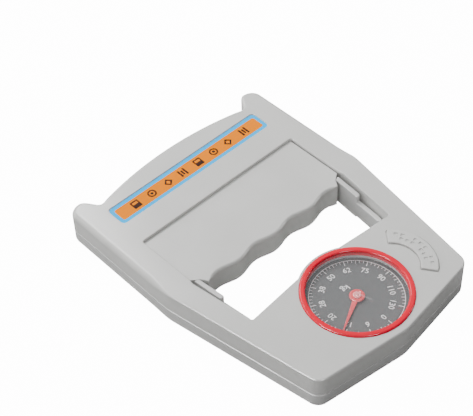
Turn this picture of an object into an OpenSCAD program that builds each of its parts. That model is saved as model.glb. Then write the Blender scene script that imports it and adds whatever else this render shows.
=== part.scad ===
// Hand dynamometer with a sliding finger grip, two compression springs and a round dial.
// Millimetres. +Z up out of the dial, +Y towards the palm end, origin at the middle of the back face.

/* [Case] */
// Case thickness from back face to front face
case_t = 20; // [16:0.5:26]
// Height of the line where the two case shells meet
part_z = 8.6; // [7:0.1:11]
// Thickness of floor, front skin and walls
wall = 2; // [1.6:0.1:2.4]
// Thickness of the lip that covers the handle plate
lip_t = 1.4; // [1:0.1:1.6]
// Width of the bevel round the front and back faces
bevel = 1.2; // [0.6:0.1:1.6]
// Radius of the curved palm end
palm_r = 190; // [170:1:230]
// Radius of the two rounded horns
horn_r = 6.5; // [5:0.1:6.5]

/* [Handle] */
// Distance between two neighbouring finger grooves
groove_pitch = 24.2; // [22:0.1:26]
// Depth of the finger grooves
groove_d = 2.3; // [1:0.1:3]
// Height of the finger grip wall
grip_h = 13.4; // [11:0.1:13.4]
// Thickness of the handle plate
plate_t = 2; // [1.6:0.1:2.2]

/* [Dial] */
// Distance of the dial centre below the origin
dial_y = -52.5; // [-53:0.1:-52]
// Outer radius of the bezel
bezel_r = 27.1; // [26:0.1:27.1]
// Inner radius of the bezel face
bezel_in = 24.2; // [23.4:0.1:24.4]
// Radius of the scale circle
scale_r = 22.5; // [20:0.1:23]
// Pointer length from its axis to its tip
pointer_l = 22.3; // [18:0.1:22.6]
// Angle of the held pointer
pointer_a = -153.5; // [-154:0.5:-153]

/* [Springs] */
// Wire radius of the grip springs
wire_r = 1.25; // [0.9:0.05:1.25]
// Mean radius of the grip springs
coil_r = 4.8; // [4.2:0.1:4.8]
// Free turns of each spring
coils = 8; // [6:1:9]
// Distance of each spring from the middle
spring_x = 22; // [18:0.5:26]

/* [Gears] */
// Gear module of the rack and the pinion
gear_m = 0.4; // [0.4:0.1:0.4]
// Teeth on the pinion
gear_z = 12; // [12:1:12]
// Play between the teeth at the pitch line
backlash = 0.08; // [0.04:0.01:0.1]

/* [Hidden] */

over = 1; // how far a cutter runs past a face
brass = [0.8, 0.68, 0.35];
steel = [0.7, 0.7, 0.72];
screw_steel = [0.68, 0.68, 0.7];
spring_steel = [0.6, 0.6, 0.63];

// Case
side_x = 64.2;  // half width at the widest place
base_y = 83.5;  // distance of the dial end from the origin
window_x = 50.9;
window_y = 4.6;
label_size = [98.6, 12.3, 0.38];
label_y = 56.5;
label_gap = 0.2;
label_top = case_t - 0.1;
case_screw_xy = [[58, 62], [-58, 62], [39, -71], [-39, -71]];

// Cross-head screws and their holes
shank_r = 1;
head_r = 2.1;
pilot_r = 1.05;
clearance_r = 1.3;
head_hole_r = 2.3;

// Heights in the dial and its movement
movement_z = 4.2;
movement_t = 1.2;
pillar_h = 7.6;
pillar_z = movement_z + movement_t;
bridge_z = pillar_z + pillar_h;
pillar_xy = [[9.5, -44], [9.5, -61], [-10.8, -60.8]];
bush_h = 2;
bush_drop = (bush_h - movement_t) / 2;
arbor_r = 1.2;
arbor_bore = arbor_r + 0.01;
dial_z = 15.1;
dial_t = 0.7;
pointer_z = 16.4;
lens_z = 19.25;
lens_t = 0.8;

// Rack and pinion, with the draw bar lying on the rack
pitch_r = gear_m * gear_z / 2;
pressure_a = 20;
tooth_root = 0.5;
rack_z = 9;
rack_t = 2;
draw_z = rack_z + rack_t;
draw_t = 1;
draw_top = draw_z + draw_t;
draw_pin_xy = [-44, 28.8];
draw_pin_hole_r = 0.9;

// Handle and springs
plate_top = case_t - lip_t - 0.2;
plate_x = 50;
handle_screw_xy = [[38, 28.6], [-38, 28.6]];
frame_z = 4;
frame_h = 8.4;
frame_y = 26.2;
seat_y = 31.4;
cup_t = 0.8;
anchor_y = 73.4;
anchor_t = 1.9;
spring_z = 10;

// Points along an arc from angle a0 to a1
function arc(cx, cy, r, a0, a1, steps) = [
  for (k = [0:steps])
    let (a = a0 + (a1 - a0) * k / steps)
    [cx + r * cos(a), cy + r * sin(a)]
];

// Scales x by side, which is 1 for the right (+X) and -1 for the left
function on_side(side, points) = [for (p = points) [side * p.x, p.y]];

module at_each(places, z = 0)
  for (p = places) translate([p.x, p.y, z]) children();

module at_dial(z = 0) translate([0, dial_y, z]) children();

// Places children on both spring axes, with their Z turned to +Y
module at_springs()
  for (x = [-spring_x, spring_x]) translate([x, 0, spring_z]) rotate([-90, 0, 0]) children();

// Box centred on x = 0
module bar(y, z, size) translate([-size.x / 2, y, z]) cube(size);

// Cutter through a part that stands on z = 0
module hole(h, r, sides = 32)
  translate([0, 0, -over]) cylinder(h = h + 2 * over, r = r, $fn = sides);

module tube(h, r, bore, sides = 32, bore_sides = 32) difference() {
  cylinder(h = h, r = r, $fn = sides);
  hole(h, bore, bore_sides);
}

// Screw pointing up, with a cross slot in the underside of its head
module cross_screw(head_z, shank_z, shank_h) difference() {
  union() {
    translate([0, 0, head_z]) cylinder(h = 1.6, r = head_r, $fn = 32);
    translate([0, 0, shank_z]) cylinder(h = shank_h, r = shank_r, $fn = 32);
  }
  for (a = [0, 90])
    translate([0, 0, head_z + 0.2]) rotate([0, 0, a]) cube([2.6, 0.6, 1], center = true);
}

// ---- Case ----

// Right half of the case outline, from dial end to palm end, moved in by inset
function half_outline(inset) = concat(
  [[0, -base_y + inset]],
  arc(44.6, -70.96, 6.5 - inset, -82.4, -9.25, 8),
  [[side_x - inset, 9]],
  arc(57, 77, horn_r - inset, 0, 112, 9),
  [for (k = [0:11])
    let (x = 48 - 48 * k / 11)
    [x, 81.2 - palm_r - inset + sqrt(palm_r * palm_r - x * x)]]);

module outline(inset = 0) {
  half = half_outline(inset);
  // The two end points lie on the middle line and are not repeated
  polygon(concat(half, [for (k = [len(half) - 2:-1:1]) [-half[k][0], half[k][1]]]));
}

// Finger opening, curved round the dial, widened by grow
module window(grow = 0) {
  corner = [46.2 + grow, -30.4 - grow];
  polygon(concat(
    [[window_x + grow, window_y], [-window_x - grow, window_y], [-corner.x, corner.y]],
    arc(0, dial_y, 28.5 - grow, 119, 61, 12),
    [corner]));
}

module handle_pocket() intersection() {
  outline(wall);
  translate([-50.8, 4.5]) square([101.6, 70.9]);
}

// Hollow of both shells, leaving the screw bosses
module cavity() difference() {
  union() {
    difference() {
      outline(wall);
      window(wall);
      translate([-52.8, 4.5]) square([105.6, 90]);
    }
    handle_pocket();
    for (side = [-1, 1]) translate([side * 57.5 - 4.6, 4.4]) square([9.2, 62]);
    translate([0, dial_y]) circle(r = 26.6, $fn = 96);
  }
  at_each(case_screw_xy) circle(r = 2.7, $fn = 32);
}

// Bevel that narrows upwards
module bevel_layer()
  linear_extrude(bevel, scale = [1 - bevel / side_x, 1 - bevel / base_y]) outline();

module front_shell() color([0.77, 0.77, 0.76]) {
  cut_z = part_z - over;
  difference() {
    union() {
      translate([0, 0, part_z]) linear_extrude(case_t - part_z - bevel) outline();
      translate([0, 0, case_t - bevel]) bevel_layer();
    }
    translate([0, 0, cut_z]) linear_extrude(case_t - cut_z - wall) cavity();
    translate([0, 0, cut_z]) linear_extrude(case_t - cut_z - lip_t) handle_pocket();
    translate([0, 0, -over]) linear_extrude(case_t + 2 * over) window();
    // Opening over the handle plate, wider at the window edge
    bar(0, cut_z, [100.8, 41.4, case_t]);
    bar(3, cut_z, [2 * window_x, 6, case_t]);
    at_dial(10) cylinder(h = 12, r = bezel_r + 0.1, $fn = 128);
    // Label recess
    bar(label_y - label_gap, case_t - 0.5,
      [label_size.x + 2 * label_gap, label_size.y + 2 * label_gap, 1]);
    // Slot in the left wall of the handle pocket
    translate([-54, 16, cut_z]) cube([4, 31, 4.6]);
    at_each(case_screw_xy, cut_z) cylinder(h = 8, r = pilot_r, $fn = 32);
  }
}

module back_shell() color([0.72, 0.72, 0.71]) difference() {
  union() {
    translate([0, 0, bevel]) linear_extrude(part_z - bevel) outline();
    mirror([0, 0, 1]) translate([0, 0, -bevel]) bevel_layer();
  }
  // The hollow leaves a post under each movement pillar
  difference() {
    translate([0, 0, wall]) linear_extrude(part_z) cavity();
    at_each(pillar_xy) cylinder(h = movement_z, r = 2.2, $fn = 32);
  }
  translate([0, 0, -over]) linear_extrude(case_t + 2 * over) window();
  bar(3, -over, [2 * window_x, 3.6, case_t]);
  at_each(case_screw_xy, -over) {
    cylinder(h = 12, r = clearance_r, $fn = 32);
    cylinder(h = 3.1, r = head_hole_r, $fn = 32);
  }
}

module label_plate() color([0.98, 0.6, 0.15])
  bar(label_y, label_top - label_size.z, label_size);

module label_marks() color([0.4, 0.16, 0.04])
  for (x = [-36.3, -25.9, -15, -5.3, 5.3, 15.8, 25.8, 37])
    translate([x, 62.05, label_top]) tube(0.08, 2.3, 1.2);

// Crescent on the front face, to the right of the bezel
module side_badge() color([0.78, 0.78, 0.77]) {
  centre = [23.6, -53];
  translate([centre.x, centre.y, case_t]) difference() {
    intersection() {
      translate([0, 0, 0.02]) linear_extrude(0.85)
        polygon(concat(arc(0, 0, 21.5, -56, 50, 24), arc(0, 0, 13.4, 50, -56, 24)));
      cylinder(h = 3, r = 22, $fn = 64);
    }
    translate([-centre.x, dial_y - centre.y, -over]) cylinder(h = 4, r = 28.6, $fn = 96);
  }
}

module case_screws() color(screw_steel)
  at_each(case_screw_xy) cross_screw(head_z = 0.5, shank_z = 1, shank_h = 13);

// ---- Dial ----

module dial_rim() color([0.8, 0.8, 0.8]) at_dial() difference() {
  translate([0, 0, 14.6]) cylinder(h = 2.6, r = 26.4, $fn = 96);
  translate([0, 0, dial_z]) cylinder(h = 4, r = 24.55, $fn = 96);
  translate([0, 0, 14]) cylinder(h = 4, r = 21, $fn = 96);
}

module dial_plate() color([0.5, 0.5, 0.5]) at_dial(dial_z) tube(dial_t, 24.5, 1.6, 96);

// Scale circle with twelve ticks inside it
module dial_scale() color([0.95, 0.95, 0.95]) {
  line_w = 0.3;
  line_t = 0.08;
  at_dial(dial_z + dial_t) {
    tube(line_t, scale_r + line_w / 2, scale_r - line_w / 2, 96, 96);
    for (k = [0:11]) rotate([0, 0, -90 - 30 * k])
      translate([scale_r - 3.2, -line_w / 2, 0]) cube([3.1, line_w, line_t]);
  }
}

module pointer() color([0.93, 0.35, 0.37]) {
  tip_l = 1;
  tip_w = 0.3;
  root_w = 1.5;
  at_dial() rotate([0, 0, pointer_a]) difference() {
    union() {
      translate([0, 0, pointer_z]) cylinder(h = 0.8, r = 3.7, $fn = 64);
      translate([0, 0, pointer_z]) linear_extrude(0.6) polygon([
        [0, -root_w], [pointer_l - tip_l, -tip_w], [pointer_l, 0],
        [pointer_l - tip_l, tip_w], [0, root_w]]);
    }
    translate([0, 0, 14]) cylinder(h = 4, r = 1.28, $fn = 32);
  }
}

module pointer_cap() color([0.95, 0.6, 0.6]) at_dial(17.22) cylinder(h = 0.4, r = 2, $fn = 48);

// Turned ring, with a groove inside that holds the lens
module bezel_ring() color([0.9, 0.15, 0.18]) {
  base_z = 17.25;
  top_z = 20.8;
  groove_r = bezel_in + 0.6;
  groove_low = lens_z - 0.01;
  groove_high = lens_z + lens_t + 0.01;
  // Columns: radius, z
  at_dial() rotate_extrude($fn = 128) polygon([
    [groove_r, base_z], [bezel_r - 0.2, base_z], [bezel_r, 17.6], [bezel_r, 20.1],
    [bezel_r - 0.35, 20.6], [bezel_r - 1.0, top_z], [groove_r, top_z], [bezel_in + 0.1, 20.6],
    [bezel_in, 20.2], [bezel_in, groove_high], [groove_r, groove_high],
    [groove_r, groove_low], [bezel_in, groove_low], [bezel_in, 17.6]]);
}

module dial_lens() color([0.9, 0.95, 1, 0.3])
  at_dial(lens_z) cylinder(h = lens_t, r = bezel_in + 0.55, $fn = 96);

// Hub under the lens, with an arm and a pin that points down
module reset_finger() color([0.85, 0.85, 0.87]) {
  arm_z = 18.3;
  at_dial() rotate([0, 0, -75]) {
    translate([0, 0, arm_z]) cylinder(h = lens_z - arm_z, r = 1, $fn = 32);
    translate([0, -0.4, arm_z]) cube([8, 0.8, 0.5]);
    // Pin sections: bottom z, height
    for (pin = [[17.4, 0.95], [16.7, 0.75]])
      translate([7.4, 0, pin[0]]) cylinder(h = pin[1], r = 0.45, $fn = 24);
  }
}

// ---- Movement ----

module movement_plate() difference() {
  linear_extrude(movement_t)
    polygon([[-14, -65], [13.5, -65], [13.5, -40.5], [5, -40.5], [-14, -54]]);
  at_dial() hole(movement_t, 2.55);
}

module movement_base() color(brass) translate([0, 0, movement_z]) movement_plate();

module movement_pillars() color(brass) at_each(pillar_xy, pillar_z) difference() {
  cylinder(h = pillar_h, r = 1.7, $fn = 32);
  translate([0, 0, 3]) cylinder(h = 8, r = 0.8, $fn = 32);
}

module movement_bridge() color(brass) translate([0, 0, bridge_z]) difference() {
  movement_plate();
  at_each(pillar_xy) hole(movement_t, 0.9);
}

module pillar_screws() color(steel) at_each(pillar_xy) difference() {
  union() {
    translate([0, 0, 9]) cylinder(h = 5.3, r = 0.75, $fn = 32);
    translate([0, 0, bridge_z + movement_t]) cylinder(h = 0.35, r = 1.5, $fn = 32);
  }
  translate([-2, -0.2, bridge_z + movement_t + 0.2]) cube([4, 0.4, 1]);
}

module bush(plate_z) at_dial(plate_z - bush_drop) tube(bush_h, 2.5, 1.25);
module upper_bush() color([0.72, 0.5, 0.25]) bush(bridge_z);
module lower_bush() color([0.72, 0.5, 0.25]) bush(movement_z);

module arbor() color([0.75, 0.75, 0.78]) at_dial(3) {
  cylinder(h = 14.2, r = arbor_r, $fn = 32);
  translate([0, 0, 3]) cylinder(h = 0.6, r = 1.8, $fn = 32);
}

module drive_collar() color(steel) at_dial(15.92) tube(0.4, 2.4, arbor_bore);

// Involute angle in degrees at radius r
function involute(base_r, r) = let (a = acos(base_r / r)) tan(a) * 180 / PI - a;

module pinion_gear() color([0.82, 0.7, 0.38]) {
  base_r = pitch_r * cos(pressure_a);
  tip_r = pitch_r + 0.36;
  inner_r = 1.6;
  // Half the angle of a tooth at the base circle
  half_a = 90 / gear_z - backlash / 2 / pitch_r * 90 / PI + involute(base_r, pitch_r);
  inner_y = inner_r * sin(half_a * 0.8);
  // Tooth flank from base to tip; the small step keeps acos within its range
  flank = [
    for (j = [0:5])
      let (r = base_r + (tip_r - base_r) * j / 5, a = half_a - involute(base_r, r + 0.00001))
      [r * cos(a), r * sin(a)]
  ];
  tooth = concat(
    [[inner_r, -inner_y]],
    [for (p = flank) [p.x, -p.y]],
    [for (j = [5:-1:0]) flank[j]],
    [[inner_r, inner_y]]);
  at_dial(rack_z) difference() {
    union() {
      cylinder(h = rack_t, r = pitch_r - tooth_root, $fn = 48);
      for (k = [0:gear_z - 1])
        rotate([0, 0, 360 / gear_z * k]) linear_extrude(rack_t) polygon(tooth);
    }
    hole(rack_t, arbor_bore);
  }
}

module rack_strip() color([0.72, 0.72, 0.74]) {
  pitch = PI * gear_m;
  half_t = pitch / 4 - backlash / 4;
  slope = tan(pressure_a);
  tooth_tip = 0.26;
  back_x = -7;
  root_x = -pitch_r - tooth_root;
  tip_x = -pitch_r + tooth_tip;
  root_half = half_t + tooth_root * slope;
  tip_half = half_t - tooth_tip * slope;
  start_y = -16.4;
  end_y = 3.9;
  at_dial(rack_z) linear_extrude(rack_t) polygon(concat(
    [[back_x, start_y], [root_x, start_y]],
    [for (k = [-13:2])
      let (y = (k + 0.5) * pitch)
      each [[root_x, y - root_half], [tip_x, y - tip_half],
        [tip_x, y + tip_half], [root_x, y + root_half]]],
    [[root_x, end_y], [back_x, end_y]]));
}

// Flat bar down the left side, from the handle frame to the rack
module draw_bar() color([0.66, 0.66, 0.68]) translate([0, 0, draw_z]) difference() {
  linear_extrude(draw_t) polygon([
    [-6.2, -52], [-6.2, -56], [-50.6, -56], [-56.8, -0.5], [-56.8, 24.2], [-52, 30.6],
    [-41, 30.6], [-41, 27], [-49.5, 27], [-54.6, 22.4], [-54.6, 0], [-48.9, -52]]);
  at_each([draw_pin_xy]) hole(draw_t, draw_pin_hole_r, 24);
}

// Two small rivets on the rack and a headed pin in the handle frame
module rack_rivets() color([0.6, 0.6, 0.62]) {
  pin_l = 3.9;
  at_each([[-6.55, -55], [-6.55, -53]], draw_top) cylinder(h = 0.4, r = 0.32, $fn = 24);
  at_each([draw_pin_xy], draw_top) cylinder(h = 0.5, r = 1.5, $fn = 32);
  at_each([draw_pin_xy], draw_top - pin_l) cylinder(h = pin_l, r = 0.87, $fn = 32);
}

// ---- Handle ----

// Points of the grooved finger edge, from left to right
finger_edge = [
  for (k = [-30:30])
    let (x = k * 1.5)
    [x, 1.0 + groove_d / 2 - groove_d / 2 * cos(360 * x / groove_pitch)]
];

// Sliding plate with the finger wall, three ribs and two screw bosses
module handle_grip() color([0.8, 0.8, 0.79]) difference() {
  union() {
    translate([0, 0, plate_top - plate_t]) linear_extrude(plate_t) polygon(concat(
      [[plate_x, 8], [plate_x, 47], [-plate_x, 47], [-plate_x, 8], [-45, window_y]],
      finger_edge,
      [[45, window_y]]));
    translate([0, 0, plate_top - grip_h]) linear_extrude(grip_h - 0.5)
      polygon(concat([[45, 8.5], [-45, 8.5]], finger_edge));
    for (x = [-33, 0, 33]) translate([x - 1, 8, 12]) cube([2, 18, 5]);
    at_each(handle_screw_xy, 12.5) cylinder(h = 5, r = 3, $fn = 32);
  }
  at_each(handle_screw_xy, 8) cylinder(h = 8.4, r = pilot_r, $fn = 32);
}

// Cross bar that carries the springs, with an arm down each side
module handle_frame() color([0.74, 0.74, 0.73]) {
  arm_w = 3.2;
  // Arm layers: bottom z, height, outline of the right arm
  arm_layers = [
    [3.6, 12.6, [[46.4, 7], [48.9, 7], [47.3, -10], [44.8, -10]]],
    [16, 2.5, [[46.2, 5.1], [48.7, 6.8], [47.3, -10], [44.8, -10]]],
    [4.4, 10, [[44.9, -9], [47.3, -9], [46.3, -24], [45.5, -27.2], [43.9, -27.2], [43.1, -25.8]]]
  ];
  difference() {
    union() {
      bar(frame_y, frame_z, [2 * plate_x, seat_y - frame_y, frame_h]);
      for (side = [-1, 1]) {
        translate([side > 0 ? plate_x - arm_w : -plate_x, 4, frame_z]) cube([arm_w, 24, frame_h]);
        for (layer = arm_layers)
          translate([0, 0, layer[0]]) linear_extrude(layer[1]) polygon(on_side(side, layer[2]));
      }
    }
    at_each(handle_screw_xy) {
      cylinder(h = 20, r = clearance_r, $fn = 32);
      cylinder(h = 6, r = head_hole_r, $fn = 32);
    }
    // Step for the end of the draw bar, and the hole for its pin
    translate([-51, 26, draw_z]) cube([10.2, 6, 6]);
    at_each([draw_pin_xy], 8) cylinder(h = 6, r = draw_pin_hole_r, $fn = 24);
    // Sockets for the spring cups
    at_springs() translate([0, 0, seat_y - 2]) cylinder(h = 3, r = 3.2, $fn = 32);
  }
}

module handle_screws() color(screw_steel)
  at_each(handle_screw_xy) cross_screw(head_z = 4.4, shank_z = 5, shank_h = 10.5);

// ---- Springs ----

module spring_cups() color([0.35, 0.35, 0.37]) at_springs() difference() {
  union() {
    translate([0, 0, seat_y]) cylinder(h = cup_t, r = 5.9, $fn = 48);
    translate([0, 0, seat_y - 1.9]) cylinder(h = 5.9, r = 3.15, $fn = 48);
  }
  translate([0, 0, seat_y - 3]) cylinder(h = 12, r = 2.2, $fn = 48);
}

module anchor_plate() color([0.62, 0.62, 0.65]) difference() {
  bar(anchor_y, 3, [62, anchor_t, 14.4]);
  at_springs() translate([0, 0, anchor_y - over]) cylinder(h = 4, r = 1.6, $fn = 32);
}

module guide_rods() color(steel) {
  rod_y = 50.5;
  at_springs() {
    translate([0, 0, rod_y]) cylinder(h = anchor_y - rod_y, r = 2.1, $fn = 32);
    translate([0, 0, anchor_y - 0.1]) cylinder(h = anchor_t, r = 1.55, $fn = 32);
  }
}

// Spring between cup and anchor plate, with one closed turn at each end
module coil(x) {
  turn_steps = 16;
  wire_sides = 8;
  turns = coils + 2;
  steps = turns * turn_steps;
  start_y = seat_y + cup_t + wire_r;
  length = anchor_y - seat_y - cup_t - 2 * wire_r;
  closed_pitch = 2 * wire_r * 1.02;
  // Rise along the spring after a number of turns
  function rise(turn) =
    turn < 1 ? turn * closed_pitch
    : turn > turns - 1 ? length - (turns - turn) * closed_pitch
    : closed_pitch + (turn - 1) / (turns - 2) * (length - 2 * closed_pitch);
  points = [
    for (k = [0:steps])
      let (turn = k / turn_steps, a = 360 * turn)
      for (j = [0:wire_sides - 1])
        let (b = 360 * j / wire_sides, r = coil_r + wire_r * cos(b))
        [r * cos(a), start_y + rise(turn) + wire_r * sin(b), r * sin(a)]
  ];
  faces = concat(
    [[for (j = [0:wire_sides - 1]) j]],
    [[for (j = [wire_sides - 1:-1:0]) steps * wire_sides + j]],
    [for (k = [0:steps - 1], j = [0:wire_sides - 1])
      let (near = k * wire_sides, far = near + wire_sides, next = (j + 1) % wire_sides)
      [near + j, far + j, far + next, near + next]]);
  translate([x, 0, spring_z]) polyhedron(points = points, faces = faces, convexity = 12);
}
module spring_left() color(spring_steel) coil(-spring_x);
module spring_right() color(spring_steel) coil(spring_x);

front_shell();
back_shell();
label_plate();
label_marks();
side_badge();
dial_rim();
dial_plate();
dial_scale();
movement_base();
movement_pillars();
movement_bridge();
pillar_screws();
upper_bush();
lower_bush();
arbor();
pinion_gear();
drive_collar();
pointer();
pointer_cap();
bezel_ring();
dial_lens();
reset_finger();
handle_grip();
handle_frame();
handle_screws();
spring_cups();
draw_bar();
rack_strip();
rack_rivets();
anchor_plate();
guide_rods();
spring_left();
spring_right();
case_screws();
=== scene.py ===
"""A spring gauge: a two-shell case with a round kg dial and a handle that slides in a window.

Modelled in millimetres and scaled to metres when each piece is finished. The case lies on its
back on z = 0 with the dial facing +Z. The dial is at the -Y end, the arched end is at +Y, and
the handle slides along Y.
"""
import math

import bmesh
import bpy
from mathutils import Matrix, Vector


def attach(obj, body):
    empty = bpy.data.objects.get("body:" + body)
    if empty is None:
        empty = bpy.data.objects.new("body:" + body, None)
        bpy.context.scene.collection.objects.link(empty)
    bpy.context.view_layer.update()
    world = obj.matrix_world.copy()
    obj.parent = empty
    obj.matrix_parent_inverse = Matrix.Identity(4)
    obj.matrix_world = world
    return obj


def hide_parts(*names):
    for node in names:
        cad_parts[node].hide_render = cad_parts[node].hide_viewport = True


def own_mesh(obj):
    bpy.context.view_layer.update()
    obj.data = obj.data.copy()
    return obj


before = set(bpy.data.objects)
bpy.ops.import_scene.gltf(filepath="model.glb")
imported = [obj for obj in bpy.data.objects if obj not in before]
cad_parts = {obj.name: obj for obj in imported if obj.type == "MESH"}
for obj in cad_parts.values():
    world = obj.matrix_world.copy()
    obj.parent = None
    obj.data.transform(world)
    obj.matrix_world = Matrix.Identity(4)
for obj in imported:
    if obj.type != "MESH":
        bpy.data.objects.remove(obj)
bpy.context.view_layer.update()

COLLECTION = bpy.context.scene.collection
MM = 0.001

# Shared dimensions, mm
DIAL_Y = -52.5       # the dial, bezel and pointer are centred on x = 0 and this y
FACE_Z = 20.0        # front face of the case
SEAM_Z = 8.6         # where the two shells meet
DIAL_TOP_Z = 15.8    # printed face of the dial plate
CASE_SCREWS = [(58, 62), (-58, 62), (39, -71), (-39, -71)]
HANDLE_SCREWS = [(-38, 28.6), (38, 28.6)]


# ---------------------------------------------------------------- flat outlines: lists of (x, y)
def polar(cx, cy, radius, degrees):
    angle = math.radians(degrees)
    return cx + radius * math.cos(angle), cy + radius * math.sin(angle)


def arc(cx, cy, radius, start, end, steps):
    return [polar(cx, cy, radius, start + (end - start) * k / steps) for k in range(steps + 1)]


def circle(cx, cy, radius, sides=128):
    return [(cx + radius * math.cos(2 * math.pi * k / sides),
             cy + radius * math.sin(2 * math.pi * k / sides)) for k in range(sides)]


def rounded(points, radii, steps=8):
    """Replace each corner that has a radius by an arc, kept short enough to fit its sides."""
    out = []
    for i, (point, radius) in enumerate(zip(points, radii)):
        if radius <= 0:
            out.append(tuple(point))
            continue
        corner = Vector(point)
        back = Vector(points[i - 1]) - corner
        ahead = Vector(points[(i + 1) % len(points)]) - corner
        back_length, ahead_length = back.length, ahead.length
        back.normalize()
        ahead.normalize()
        half = back.angle(ahead) / 2
        trim = min(radius / math.tan(half), 0.48 * back_length, 0.48 * ahead_length)
        radius = trim * math.tan(half)
        centre = corner + (back + ahead).normalized() * (radius / math.sin(half))
        first = corner + back * trim - centre
        last = corner + ahead * trim - centre
        start = math.atan2(first.y, first.x)
        sweep = (math.atan2(last.y, last.x) - start + math.pi) % (2 * math.pi) - math.pi
        for k in range(steps + 1):
            angle = start + sweep * k / steps
            out.append((centre.x + radius * math.cos(angle), centre.y + radius * math.sin(angle)))
    return out


def box(x0, y0, x1, y1, radius=0, steps=4):
    return rounded([(x0, y0), (x1, y0), (x1, y1), (x0, y1)], [radius] * 4, steps)


def turned(degrees, points):
    """Turn points about the origin, then move the origin to the dial centre."""
    c, s = math.cos(math.radians(degrees)), math.sin(math.radians(degrees))
    return [(x * c - y * s, DIAL_Y + x * s + y * c) for x, y in points]


def subdivided(points, step):
    out = []
    for i, (x, y) in enumerate(points):
        x2, y2 = points[(i + 1) % len(points)]
        parts = max(1, int(math.hypot(x2 - x, y2 - y) / step))
        out += [(x + (x2 - x) * k / parts, y + (y2 - y) * k / parts) for k in range(parts)]
    return out


def clean(points, gap=0.02):
    """Drop points closer than the gap and make the loop anticlockwise."""
    out = []
    for p in points:
        if not out or math.dist(p, out[-1]) > gap:
            out.append(p)
    if math.dist(out[0], out[-1]) < gap:
        out.pop()
    following = out[1:] + out[:1]
    area = 0.5 * sum(p[0] * q[1] - q[0] * p[1] for p, q in zip(out, following))
    return out if area > 0 else out[::-1]


def normals(loop):
    """Outward mitred normal at each point of an anticlockwise loop."""
    out = []
    for i, here in enumerate(loop):
        before, after = loop[i - 1], loop[(i + 1) % len(loop)]
        n1 = Vector((here[1] - before[1], before[0] - here[0])).normalized()
        n2 = Vector((after[1] - here[1], here[0] - after[0])).normalized()
        mitre = n1 + n2
        mitre.normalize()
        out.append(mitre / max(0.35, mitre.dot(n1)))
    return out


def per_point(value, count):
    return value if isinstance(value, (list, tuple)) else [value] * count


def grow(loop, amount):
    """Offset a clean loop outwards by one amount, or by one per point."""
    amounts = per_point(amount, len(loop))
    return [(p[0] + n.x * d, p[1] + n.y * d) for p, n, d in zip(loop, normals(loop), amounts)]


def smooth(a, b, x):
    """Smooth step from 0 at a to 1 at b."""
    t = min(1, max(0, (x - a) / (b - a)))
    return t * t * (3 - 2 * t)


# ---------------------------------------------------------------- meshes, in mm
def make_object(name, verts, faces):
    mesh = bpy.data.meshes.new(name)
    mesh.from_pydata(verts, [], faces)
    bm = bmesh.new()
    bm.from_mesh(mesh)
    bmesh.ops.recalc_face_normals(bm, faces=bm.faces)
    bm.to_mesh(mesh)
    bm.free()
    new = bpy.data.objects.new(name, mesh)
    COLLECTION.objects.link(new)
    return new


def loft(rings, name="part"):
    """Join rings (loop, z or z per point) from bottom to top, with a face closing each end."""
    n = len(rings[0][0])
    verts, faces = [], []
    for loop, z in rings:
        verts += [(p[0], p[1], height) for p, height in zip(loop, per_point(z, n))]
    for k in range(len(rings) - 1):
        for i in range(n):
            j = (i + 1) % n
            faces.append((k * n + i, k * n + j, (k + 1) * n + j, (k + 1) * n + i))
    faces.append(tuple(range(n - 1, -1, -1)))
    faces.append(tuple((len(rings) - 1) * n + i for i in range(n)))
    return make_object(name, verts, faces)


def fillet_rings(loop, z, radius, up=True, steps=6):
    """Rings of a convex fillet meeting the plane z; the radius may vary by point."""
    radii = per_point(radius, len(loop))
    side = 1 if up else -1
    rings = []
    for k in range(steps + 1):
        a = math.pi / 2 * k / steps
        rings.append((grow(loop, [-r * (1 - math.cos(a)) for r in radii]),
                      [z - side * r * (1 - math.sin(a)) for r in radii]))
    return rings if up else rings[::-1]


def prism(loop, z0, z1, top=0.0, bottom=0.0, steps=6, name="part"):
    """Upright block, with optional fillets of radius top and bottom."""
    loop = clean(loop)
    rings = fillet_rings(loop, z0, bottom, False, steps) if bottom else [(loop, z0)]
    rings += fillet_rings(loop, z1, top, True, steps) if top else [(loop, z1)]
    return loft(rings, name)


def flared_cutter(loop, z0, z1, radius, steps=6):
    """A cutter whose mouth flares at the plane z1, which leaves a rounded edge."""
    loop = clean(loop)
    rings = [(loop, z0)]
    for k in range(steps + 1):
        a = math.pi / 2 * k / steps
        rings.append((grow(loop, radius * (1 - math.cos(a))), z1 - radius + radius * math.sin(a)))
    rings.append((grow(loop, radius * 1.3), z1 + 2))
    return loft(rings)


def spun(profile, sides):
    """Points of a (radius, z) profile turned about the dial axis."""
    verts = []
    for k in range(sides):
        a = 2 * math.pi * k / sides
        verts += [(r * math.cos(a), DIAL_Y + r * math.sin(a), z) for r, z in profile]
    return verts


def revolve(profile, sides=192, name="part"):
    """A ring from a closed (radius, z) profile."""
    m = len(profile)
    faces = []
    for k in range(sides):
        here, beyond = k * m, (k + 1) % sides * m
        for i in range(m):
            j = (i + 1) % m
            faces.append((here + i, here + j, beyond + j, beyond + i))
    return make_object(name, spun(profile, sides), faces)


def disc(profile, sides=128, name="part"):
    """A solid from an open (radius, z) profile, from bottom centre to top centre."""
    inner = profile[1:-1]
    m = len(inner)
    verts = [(0, DIAL_Y, profile[0][1])] + spun(inner, sides) + [(0, DIAL_Y, profile[-1][1])]
    top = len(verts) - 1
    faces = []
    for k in range(sides):
        b, c = 1 + k * m, 1 + (k + 1) % sides * m
        faces.append((0, c, b))
        faces += [(b + i, c + i, c + i + 1, b + i + 1) for i in range(m - 1)]
        faces.append((top, b + m - 1, c + m - 1))
    return make_object(name, verts, faces)


def join(name, parts):
    verts, faces = [], []
    for part in parts:
        base = len(verts)
        verts += [tuple(v.co) for v in part.data.vertices]
        faces += [tuple(base + i for i in p.vertices) for p in part.data.polygons]
        bpy.data.objects.remove(part, do_unlink=True)
    return make_object(name, verts, faces)


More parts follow.
